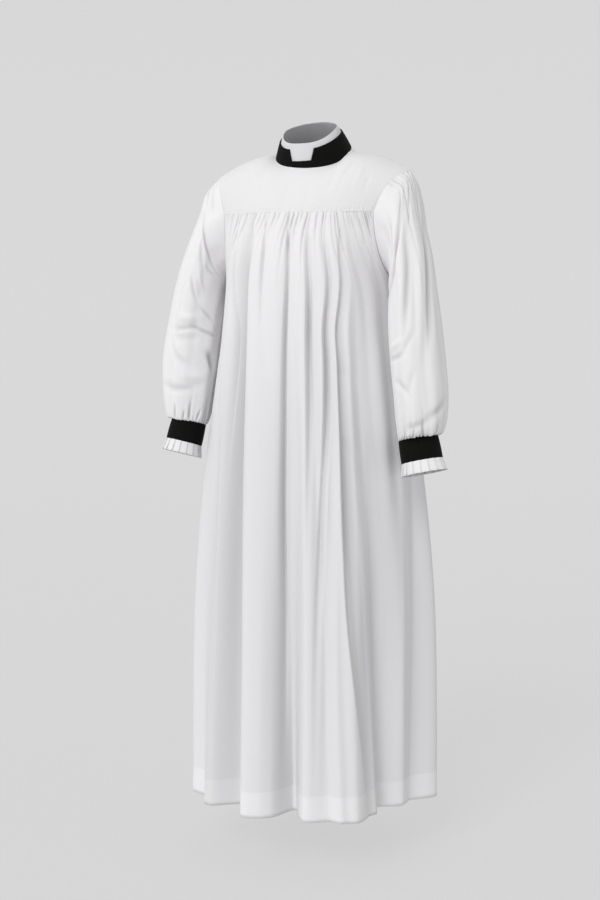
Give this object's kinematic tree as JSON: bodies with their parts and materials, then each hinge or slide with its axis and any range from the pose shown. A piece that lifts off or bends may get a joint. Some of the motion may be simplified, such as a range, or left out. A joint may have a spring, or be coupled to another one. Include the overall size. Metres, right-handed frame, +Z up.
{
  "type": "worn rochet with collar and wristbands",
  "caption": "Long white gown gathered below a plain yoke, with full sleeves, black wristbands, pleated wrist frills and a black notched collar over a white neckband.",
  "frame": {"origin": "middle of the neck opening, level with the neck ends of the shoulder seams, where the wearer's neck and shoulders hold the gown", "axes": "+Z up along the body, -Y to the front, +X to the wearer's left"},
  "size_m": [0.6255, 0.4358, 1.3829],
  "materials": {
    "white_cotton": "matte plain-weave cotton blend",
    "black_cotton": "matte black twill"
  },
  "bodies": {
    "root": {"front_yoke": "white_cotton", "back_yoke": "white_cotton", "front_panel": "white_cotton", "back_panel": "white_cotton", "sleeve_left": "white_cotton", "sleeve_right": "white_cotton", "frill_left": "white_cotton", "frill_right": "white_cotton", "neck_band": "white_cotton", "collar_band": "black_cotton", "wristband_left": "black_cotton", "wristband_right": "black_cotton"}
  },
  "joints": []
}
